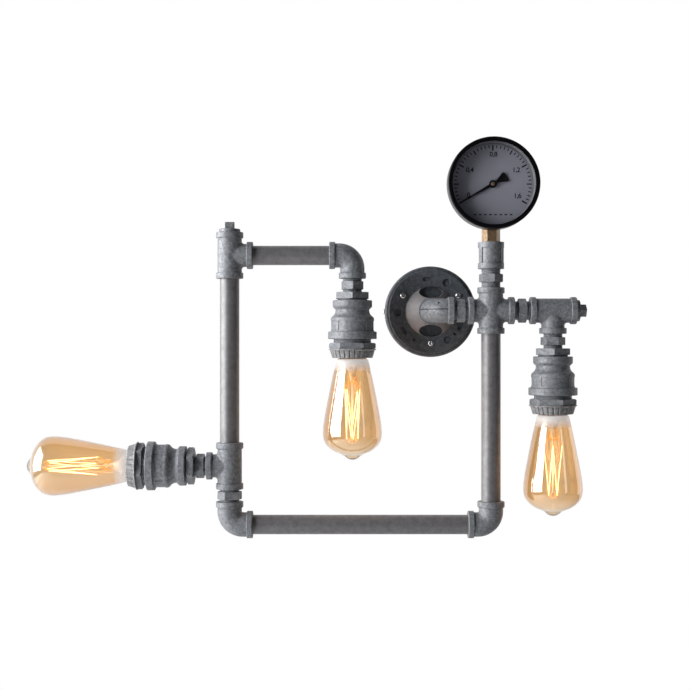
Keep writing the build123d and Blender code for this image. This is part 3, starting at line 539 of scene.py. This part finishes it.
# %% Milky glass
stem_clearness, stem_roughness = 0.55, 0.35
clearness_swing, roughness_swing = 0.06, 0.2


def milky_glass(name, body, clearness, roughness):
    finish, tree, skin = new_finish(name)
    haze = noise(tree, scale=260.0, detail=3.0)
    body_colour = blend_colours(tree, haze, shade(body, times=0.9), body)
    gloss = spread(
        tree, haze, noise_low, noise_high,
        roughness * (1 + roughness_swing), roughness * (1 - roughness_swing))
    see_through = spread(
        tree, haze, noise_low, noise_high,
        clearness - clearness_swing, clearness + clearness_swing)
    tree.links.new(body_colour, skin.inputs["Base Color"])
    tree.links.new(gloss, skin.inputs["Roughness"])
    tree.links.new(see_through, skin.inputs["Transmission Weight"])
    skin.inputs["IOR"].default_value = glass_ior
    return finish


stem_glass = milky_glass("stem_glass", (0.90, 0.94, 0.98), stem_clearness, stem_roughness)
print("the stem lets", stem_clearness, "of the light through")

# %% [markdown]
# The amber stain begins a little below the screw ring. Above that the glass is pale and hazy,
# and the haze fades out downwards, by the height along the bulb's own axis. It scatters the
# light of the filament, which a faint glow of its own stands for.

# %% Haze of the neck
haze_start = 4.0 * mm
haze_end = 15.0 * mm
haze_glow = 0.42
haze_thickest = 0.66


def neck_haze(name, body, strongest):
    finish, tree, skin = new_finish(name)
    cloud = noise(tree, scale=120.0, detail=3.0)
    body_colour = blend_colours(tree, cloud, shade(body, times=0.93), body)
    tree.links.new(body_colour, skin.inputs["Base Color"])
    skin.inputs["Roughness"].default_value = 0.45
    skin.inputs["Emission Color"].default_value = (1.0, 0.96, 0.93, 1)
    skin.inputs["Emission Strength"].default_value = haze_glow
    place = tree.nodes.new("ShaderNodeTexCoord")
    parts = tree.nodes.new("ShaderNodeSeparateXYZ")
    tree.links.new(place.outputs["Object"], parts.inputs[0])
    fading = spread(tree, parts.outputs["Z"], haze_start, haze_end, strongest, 0.0)
    tree.links.new(fading, skin.inputs["Alpha"])
    return finish


pale_haze = neck_haze("pale_haze", (0.30, 0.294, 0.288), haze_thickest)
print("haze is gone", haze_end, "metres down the neck")

# %% [markdown]
# The filament glows a warm yellow, a little unevenly along its length. The wires that hold it
# are copper, and an orange glow is painted on them, which stands for the filament's light
# falling on them. Plain emission gives both their colour, and leaves what they light to a small
# lamp in each bulb, further down.

# %% Glowing filament and copper wires with painted glow
strand_strength = 3.0
wire_painted_glow_strength = 0.55


def glowing(name, colour, strength):
    finish, tree, skin = new_finish(name)
    flicker = noise(tree, scale=220.0, detail=2.0)
    skin.inputs["Base Color"].default_value = (*colour, 1)
    shine = blend_colours(tree, flicker, shade(colour, times=0.85), colour)
    tree.links.new(shine, skin.inputs["Emission Color"])
    skin.inputs["Emission Strength"].default_value = strength
    return finish


strand_glow = glowing("strand_glow", (1.0, 0.76, 0.50), strand_strength)
copper_wire_painted_glow = zinc_coat(
    "copper_wire_painted_glow", (0.60, 0.30, 0.06), (0.85, 0.50, 0.14), metallic=0.6,
    dull=0.4, bright=0.3, cloud=500.0, grain=2500.0, strength=0.1, edge_r=0.1 * mm)
# painted glow: an orange emission on the copper wires stands for the filament's light on them
wire_painted_glow_skin = copper_wire_painted_glow.node_tree.nodes["Principled BSDF"]
wire_painted_glow_skin.inputs["Emission Color"].default_value = (1.0, 0.50, 0.10, 1)
wire_painted_glow_skin.inputs["Emission Strength"].default_value = wire_painted_glow_strength
print("finishes in all:", len(bpy.data.materials))

# %% [markdown]
# The record says which material slot each solid belongs to, so the finishes are handed out by
# slot. Straight pipes share a slot with the castings, and get their own coat by name.

# %% Hand out the finishes
finish_of_slot = {
    "galvanised_iron": fitting_zinc,
    "zinc_plate": bracket_zinc,
    "grey_cast_plate": plate_paint,
    "screw_steel": screw_plating,
    "white_plastic": terminal_plastic,
    "flex_rubber": flex_rubber,
    "ceramic": holder_ceramic,
    "brass": turned_brass,
    "nickel_cap": cap_nickel,
    "amber_glass": amber_glass,
    "filament_glow": strand_glow,
    "ring_iron": ring_zinc,
    "case_grey": case_paint,
    "bezel_black": bezel_paint,
    "gauge_glass": window_glass,
    "dial_grey": dial_face,
    "pointer_black": pointer_paint,
}
pipes = ("right_pipe", "bottom_pipe", "left_pipe", "top_pipe")
for part in frame["record"]["subparts"]:
    solid = frame["nodes"][part["node"]]
    finish = pipe_zinc if part["node"] in pipes else finish_of_slot[part["material_slot"]]
    for index in range(len(solid.data.materials)):
        solid.data.materials[index] = finish
    if not solid.data.materials:
        solid.data.materials.append(finish)

# %% [markdown]
# Thin clear glass throws almost no shadow, but a renderer that follows light from the eye can't
# find a lamp through a wall that bends light, and would leave the cages dark. So the shadow of
# the glass is switched off, and the lamps' light passes straight through. The window gets the
# same, so that the dial behind it is lit evenly.

# %% Glass without a shadow
clear_nodes = ("left_bulb_glass", "middle_bulb_glass", "right_bulb_glass", "gauge_window")
for name in clear_nodes:
    frame["nodes"][name].visible_shadow = False
print("no shadow from", ", ".join(clear_nodes))

# %% [markdown]
# The bulbs' bars and hooks and the elbow's seam are all wires. A curve with a round bevel draws
# one from its points alone, with closed ends, and becomes a mesh, which keeps its shape in any
# other program.

# %% Helper for wires
def smooth(mesh):
    for face in mesh.polygons:
        face.use_smooth = True


def swept(name, runs, radius, finish):
    """Runs of points become round wires with closed ends, all in one mesh."""
    curve = bpy.data.curves.new(name, "CURVE")
    curve.dimensions = "3D"
    curve.bevel_depth = radius
    curve.bevel_resolution = 2
    curve.use_fill_caps = True
    for run in runs:
        spline = curve.splines.new("POLY")
        spline.points.add(len(run) - 1)
        for point, place in zip(spline.points, run):
            point.co = (*place, 1)
    holder = bpy.data.objects.new(name, curve)
    mesh = bpy.data.meshes.new_from_object(holder)
    bpy.data.objects.remove(holder)
    mesh.materials.clear()
    mesh.materials.append(finish)
    smooth(mesh)
    return added(name, mesh)


def millimetres(points):
    """Points written in millimetres, in metres."""
    return [tuple(value * mm for value in point) for point in points]


print("a wire's point at 10 mm is", millimetres([(10, 0, 0)]), "in metres")

# %% [markdown]
# The glass stems, the dial's rim and the pointer's boss are round shapes, as from a lathe. The
# screw modifier could spin an outline too. Here the rings are made vertex by vertex, so that a
# shape closes in one point on its axis, and a closed outline makes a wall with two sides.

# %% Helper for turned shapes
spin_steps = 48
same_place = 1e-7


def spun(name, outline, finish, steps=spin_steps):
    """An outline of (radius, height) points is turned about Z into a closed, smooth solid."""
    turned = bmesh.new()
    rings = []
    for radius, height in outline:
        if radius == 0:
            rings.append([turned.verts.new((0, 0, height))])
            continue
        ring = []
        for i in range(steps):
            a = 2 * math.pi * i / steps
            ring.append(turned.verts.new((radius * math.cos(a), radius * math.sin(a), height)))
        rings.append(ring)
    for low, high in zip(rings, rings[1:]):
        for i in range(steps):
            j = (i + 1) % steps
            corners = [
                low[i % len(low)], low[j % len(low)], high[j % len(high)], high[i % len(high)]]
            unique = [c for k, c in enumerate(corners) if c not in corners[:k]]
            if len(unique) > 2:
                turned.faces.new(unique)
    bmesh.ops.remove_doubles(turned, verts=turned.verts, dist=same_place)
    bmesh.ops.recalc_face_normals(turned, faces=turned.faces)
    mesh = bpy.data.meshes.new(name)
    turned.to_mesh(mesh)
    turned.free()
    mesh.materials.append(finish)
    smooth(mesh)
    made = added(name, mesh)
    print(name, "has", len(mesh.polygons), "faces")
    return made


print("a turned shape has", spin_steps, "sides, unless it is given more or fewer")

# %% [markdown]
# Inside each bulb a glass stem carries two crowns of hooks, and one long filament is hung
# zigzag between them like the bars of a cage. The bars are modelled as thin tubes swept along
# straight runs. The cage is built in millimetres along +Z, from the neck of the glass, and
# turned into each bulb's own place afterwards.

# %% Bars of the cage
bars = 8
hooks = bars // 2
hook_angle = 2 * math.pi / hooks
half_angle = math.pi / hooks
crown_r, crown_z = 10.0, 34.0
foot_r, foot_z = 6.4, 89.0
strand_r = 0.40 * mm
down = ((crown_r, 0.0, crown_z), (foot_r, half_angle, foot_z))
up_again = ((foot_r, half_angle, foot_z), (crown_r, hook_angle, crown_z))


def bent(path, turn):
    """A wire through points of (distance from the axis, angle about it, height)."""
    return millimetres([
        (radius * math.cos(turn + angle), radius * math.sin(turn + angle), height)
        for radius, angle, height in path
    ])


def cage_bars(lamp_name, turn):
    runs = []
    for i in range(hooks):
        runs.append(bent(down, turn + hook_angle * i))
        runs.append(bent(up_again, turn + hook_angle * i))
    print(lamp_name, "cage has", len(runs), "bars")
    return swept(lamp_name + "_strands", runs, strand_r, strand_glow)


print("bars run from", crown_z, "to", foot_z, "millimetres down the bulb")

# %% [markdown]
# Each hook near the neck is a bent copper wire that comes out of the stem, and at the far end
# the wires start from the bead of a glass rod. Between stem and crown one more wire runs round
# in a zigzag. All are given by the points at their bends, as the bars are.

# %% Hooks and loops
wire_r = 0.42 * mm
crown_hook = (
    (2.4, 2.6, 12.0), (5.6, 1.2, 20.0), (3.4, -0.6, 27.0), (9.0, 0.0, 31.0),
    (crown_r, 0.0, crown_z), (7.5, 0.3, crown_z + 2.5),
)
foot_wire = (
    (0.0, 0.0, foot_z - 2.0), (0.9 * foot_r, half_angle, foot_z + 1.5),
    (foot_r, half_angle, foot_z),
)
foot_hook = ((foot_r, half_angle, foot_z), (0.55 * foot_r, half_angle + 0.3, foot_z + 4.5))
zigzag_turn = 0.4
zigzag_inner, zigzag_outer = (4.6, 20.5), (6.4, 29.5)


def cage_hooks(lamp_name, turn):
    wires = []
    for i in range(hooks):
        wires += [bent(wire, turn + hook_angle * i) for wire in (crown_hook, foot_wire, foot_hook)]
    zigzag = []
    for i in range(bars):
        radius, height = zigzag_outer if i % 2 else zigzag_inner
        zigzag.append((radius, half_angle * i + zigzag_turn, height))
    wires.append(bent([*zigzag, zigzag[0]], turn))
    return swept(lamp_name + "_hooks", wires, wire_r, copper_wire_painted_glow)


print("each bulb gets", 3 * hooks, "bent wires and a zigzag of", bars, "points")

# %% [markdown]
# The stem starts as a wide foot in the neck, narrows to a pinch that holds the wires, and ends
# in a thin rod with a bead. The haze is a thin skin that lies over the outside of the neck. Both
# are outlines of (distance from the axis, height) in millimetres, spun about the axis.

# %% Stem and haze
stem_outline = (
    (0, 0.6), (9.3, 0.6), (9.5, 2.7), (14.4, 2.9), (14.6, 3.7), (10.5, 7.0), (6.0, 11.5),
    (3.8, 16), (2.9, 21), (3.3, 23.5), (2.6, 25.6), (1.1, 26.6), (0.9, 30), (0.9, foot_z - 4),
    (1.5, foot_z - 2.6), (1.2, foot_z - 1.2), (0, foot_z - 0.8),
)
haze_outline = (
    (15.9, 0.9), (17.6, 2.3), (19.0, 7.3), (20.25, 12.3), (20.95, 15.2), (20.85, 15.2),
    (20.15, 12.3), (18.9, 7.3), (17.5, 2.3), (15.8, 1.0), (15.9, 0.9),
)
print("the stem is", stem_outline[-1][1], "millimetres tall")

# %% [markdown]
# The four pieces of a cage ride on the bulb's body, so they turn and travel with it when the
# bulb is screwed out. The strands replace the plain cage of the solids, which stays hidden.

# %% One whole cage
def cage(lamp_name, place, turn_deg):
    turn = math.radians(turn_deg)
    strands = cage_bars(lamp_name, turn)
    wires = cage_hooks(lamp_name, turn)
    stem = spun(lamp_name + "_stem", millimetres(stem_outline), stem_glass)
    haze = spun(lamp_name + "_neck_haze", millimetres(haze_outline), pale_haze)
    for piece, slot in (
        (strands, "filament_glow"), (wires, "filament_glow"), (stem, "filament_glow"),
        (haze, "amber_glass"),
    ):
        piece.matrix_world = place
        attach(piece, lamp_name + "_bulb")
    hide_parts(lamp_name + "_filament")
    print(lamp_name, "cage rides on", lamp_name + "_bulb")


print("one cage is four pieces: strands, hooks, stem and haze")

# %% [markdown]
# The glass solid's own box says where each bulb is: the two hanging ones start at the top of
# their box, and the lying one starts at its right-hand end. A small warm lamp in each bulb
# throws the orange glow that shows on the pipes beside it, and stays unseen itself. Each cage
# is turned a little differently, as the bulbs happen to stop when they are screwed in.

# %% Put the cages in
glow_watts = 0.20
glow_depth = 60.0 * mm
cage_turns_deg = {"left": 20.0, "middle": 35.0, "right": 8.0}


def neck_of(lamp_name):
    low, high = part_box(lamp_name + "_bulb_glass")
    centre = (low + high) / 2
    if lamp_name == "left":
        neck, tipped = (high.x, centre.y, centre.z), Matrix.Rotation(math.radians(-90), 4, "Y")
    else:
        neck, tipped = (centre.x, centre.y, high.z), Matrix.Rotation(math.radians(180), 4, "X")
    return Matrix.Translation(neck) @ tipped


for lamp_name, turn_deg in cage_turns_deg.items():
    place = neck_of(lamp_name)
    cage(lamp_name, place, turn_deg)
    glow = bpy.data.lights.new(lamp_name + "_glow", "POINT")
    glow.energy = glow_watts
    glow.color = (1.0, 0.47, 0.17)
    glow.shadow_soft_size = 15.0 * mm
    glow_lamp = added(lamp_name + "_glow", glow)
    glow_lamp.location = place @ Vector((0, 0, glow_depth))
    glow_lamp.visible_camera = False
    glow_lamp.visible_glossy = False
    glow_lamp.visible_transmission = False
    print(lamp_name, "bulb glows from", [round(v, 3) for v in glow_lamp.location])

# %% [markdown]
# The dial's scale runs from 0 to 1.6 over 240 degrees. Ticks stand every 0.04, longer ones
# every 0.2 and the longest every 0.4. Printed ink has almost no thickness, so each tick is a
# thin plate that stands a twentieth of a millimetre off the face, which also keeps it clear of
# the flicker that two surfaces in one plane would give.

# %% Helper for printed plates
ink_stand = 0.05 * mm
ink_thick = 0.10 * mm
dial_low, dial_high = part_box("gauge_dial")
dial_centre = Vector(((dial_low.x + dial_high.x) / 2, dial_low.y, (dial_low.z + dial_high.z) / 2))


def plates(name, shapes, finish):
    """Flat outlines in the dial's plane (x right, y up) become thin closed plates."""
    build = bmesh.new()
    for shape in shapes:
        back, front = [
            [build.verts.new((dial_centre.x + x, dial_centre.y - off, dial_centre.z + y))
             for x, y in shape]
            for off in (ink_stand, ink_stand + ink_thick)
        ]
        build.faces.new(back)
        build.faces.new(list(reversed(front)))
        for i in range(len(shape)):
            j = (i + 1) % len(shape)
            build.faces.new([back[j], back[i], front[i], front[j]])
    bmesh.ops.recalc_face_normals(build, faces=build.faces)
    mesh = bpy.data.meshes.new(name)
    build.to_mesh(mesh)
    build.free()
    mesh.materials.append(finish)
    return added(name, mesh)


print("middle of the dial", [round(v, 4) for v in dial_centre])

# %% [markdown]
# A tick is a bar that points away from the middle, given by its angle, its two ends and its
# width. Below the scale runs a row of short dashes.

# %% Ticks and dashes of the dial
scale_start_deg, tick_step_deg, tick_count = 210.0, 6.0, 41
tick_outer_r = 42.4
longest_tick, longer_tick, short_tick = (36.4, 1.5), (36.8, 1.2), (39.2, 1.0)
longest_every, longer_every = 10, 5
dash_x, dash_step, dash_count, dash_y = -19.4, 5.6, 8, -33.2
dash_corners = ((-1.4, -0.65), (1.4, -0.65), (1.4, 0.65), (-1.4, 0.65))


def bar(angle_deg, start, stop, width):
    a = math.radians(angle_deg)
    out = Vector((math.cos(a), math.sin(a)))
    side = Vector((-out.y, out.x)) * width / 2
    near, far = out * start, out * stop
    return millimetres([near - side, far - side, far + side, near + side])


marks = []
for step in range(tick_count):
    inner_r, width = short_tick
    if step % longest_every == 0:
        inner_r, width = longest_tick
    elif step % longer_every == 0:
        inner_r, width = longer_tick
    marks.append(bar(scale_start_deg - tick_step_deg * step, inner_r, tick_outer_r, width))
for i in range(dash_count):
    x = dash_x + dash_step * i
    marks.append(millimetres([(x + across, dash_y + up) for across, up in dash_corners]))
scale_marks = plates("dial_scale", marks, dial_ink)
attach(scale_marks, "gauge")
print("ticks and dashes:", len(marks))

# %% [markdown]
# The numbers are plain type, a little over five millimetres tall. A text object makes them,
# given a little thickness so that they are solids like the ticks, and they become meshes so
# that nothing depends on a font later. The outlines are swollen a little, as wet ink is.

# %% Numbers of the dial
number_height = 5.3 * mm
height_of_type = 0.72
ink_swell = 0.08 * mm
number_places = (
    ("0", -26.2, -12.0), ("0,4", -25.0, 15.2), ("0,8", 0.7, 32.2), ("1,2", 25.4, 15.2),
    ("1,6", 26.8, -12.9),
)
upright = Matrix.Rotation(math.radians(90), 4, "X")


def number(text, x, y):
    curve = bpy.data.curves.new("number_" + text, "FONT")
    curve.body = text
    curve.size = number_height / height_of_type
    curve.align_x = "CENTER"
    curve.align_y = "CENTER"
    curve.extrude = ink_thick / 2
    curve.offset = ink_swell
    curve.space_character = 0.95
    holder = bpy.data.objects.new("number_" + text, curve)
    mesh = bpy.data.meshes.new_from_object(holder)
    bpy.data.objects.remove(holder)
    off = ink_stand + ink_thick / 2
    mesh.transform(upright)
    mesh.transform(Matrix.Translation(dial_centre + Vector((x, -off, y))))
    return mesh


digits = bmesh.new()
for text, x, y in number_places:
    digits.from_mesh(number(text, x * mm, y * mm))
digit_mesh = bpy.data.meshes.new("dial_numbers")
digits.to_mesh(digit_mesh)
digits.free()
digit_mesh.materials.append(dial_ink)
dial_numbers = added("dial_numbers", digit_mesh)
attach(dial_numbers, "gauge")
print("numbers have", len(digit_mesh.polygons), "faces")

# %% [markdown]
# Round the dial runs a slanted rim. Its right side faces the big panel and shows as a bright
# crescent inside the black bezel. It is spun from its outline, and then turned to face us.

# %% Slanted rim
rim_outline = ((43.4, 0.05), (45.15, 9.9), (45.2, 9.9), (45.2, 9.0), (44.1, 0.05), (43.4, 0.05))

rim = spun("dial_rim", millimetres(rim_outline), rim_paint, steps=96)
rim.matrix_world = Matrix.Translation(dial_centre) @ upright
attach(rim, "gauge")
print("rim stands", rim_outline[1][1], "millimetres off the dial")

# %% [markdown]
# The pointer's hub carries a small domed boss of brass. It rides on the hand, and turns with
# it.

# %% Brass boss of the pointer
boss_outline = ((0, -1.0), (2.1, -1.0), (2.2, 0.15), (2.0, 0.45), (0, 0.55))

pointer_front_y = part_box("gauge_pointer")[0].y
boss = spun("pointer_boss", millimetres(boss_outline), boss_brass, steps=40)
boss_place = Matrix.Translation((dial_centre.x, pointer_front_y, dial_centre.z))
boss.matrix_world = boss_place @ upright
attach(boss, "gauge_hand")
print("boss at depth", round(pointer_front_y, 4))

# %% [markdown]
# The wall elbow was cast in two halves, and a thin seam runs round its outside from mouth to
# mouth. It is a wire sunk half-way into the skin, along the bend's outer line: straight along
# the mouth that faces the cross, round the bend, and straight again towards the wall.

# %% Casting seam
tube_r, bend_r, band_r = 13.4 * mm, 14.6 * mm, 15.0 * mm
seam_r = 0.45 * mm
seam_start_x, seam_end_reach, seam_z = 16.0 * mm, 18.8 * mm, 1.5 * mm
seam_steps = 24
bend_start_deg, bend_sweep_deg = 270, 90

run_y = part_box("wall_elbow")[0].y + band_r
outer_r = tube_r + bend_r
seam_run = [(seam_start_x, run_y - tube_r, seam_z)]
for i in range(seam_steps + 1):
    a = math.radians(bend_start_deg - bend_sweep_deg * i / seam_steps)
    x = bend_r + outer_r * math.cos(a)
    y = run_y + bend_r + outer_r * math.sin(a)
    seam_run.append((x, y, seam_z))
seam_run.append((-tube_r, run_y + seam_end_reach, seam_z))
# the seam's nearly black finish is painted shadow
seam = swept("elbow_seam", [seam_run], seam_r, seam_painted_shadow)
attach(seam, "wall_frame")
print("seam has", len(seam_run), "points")
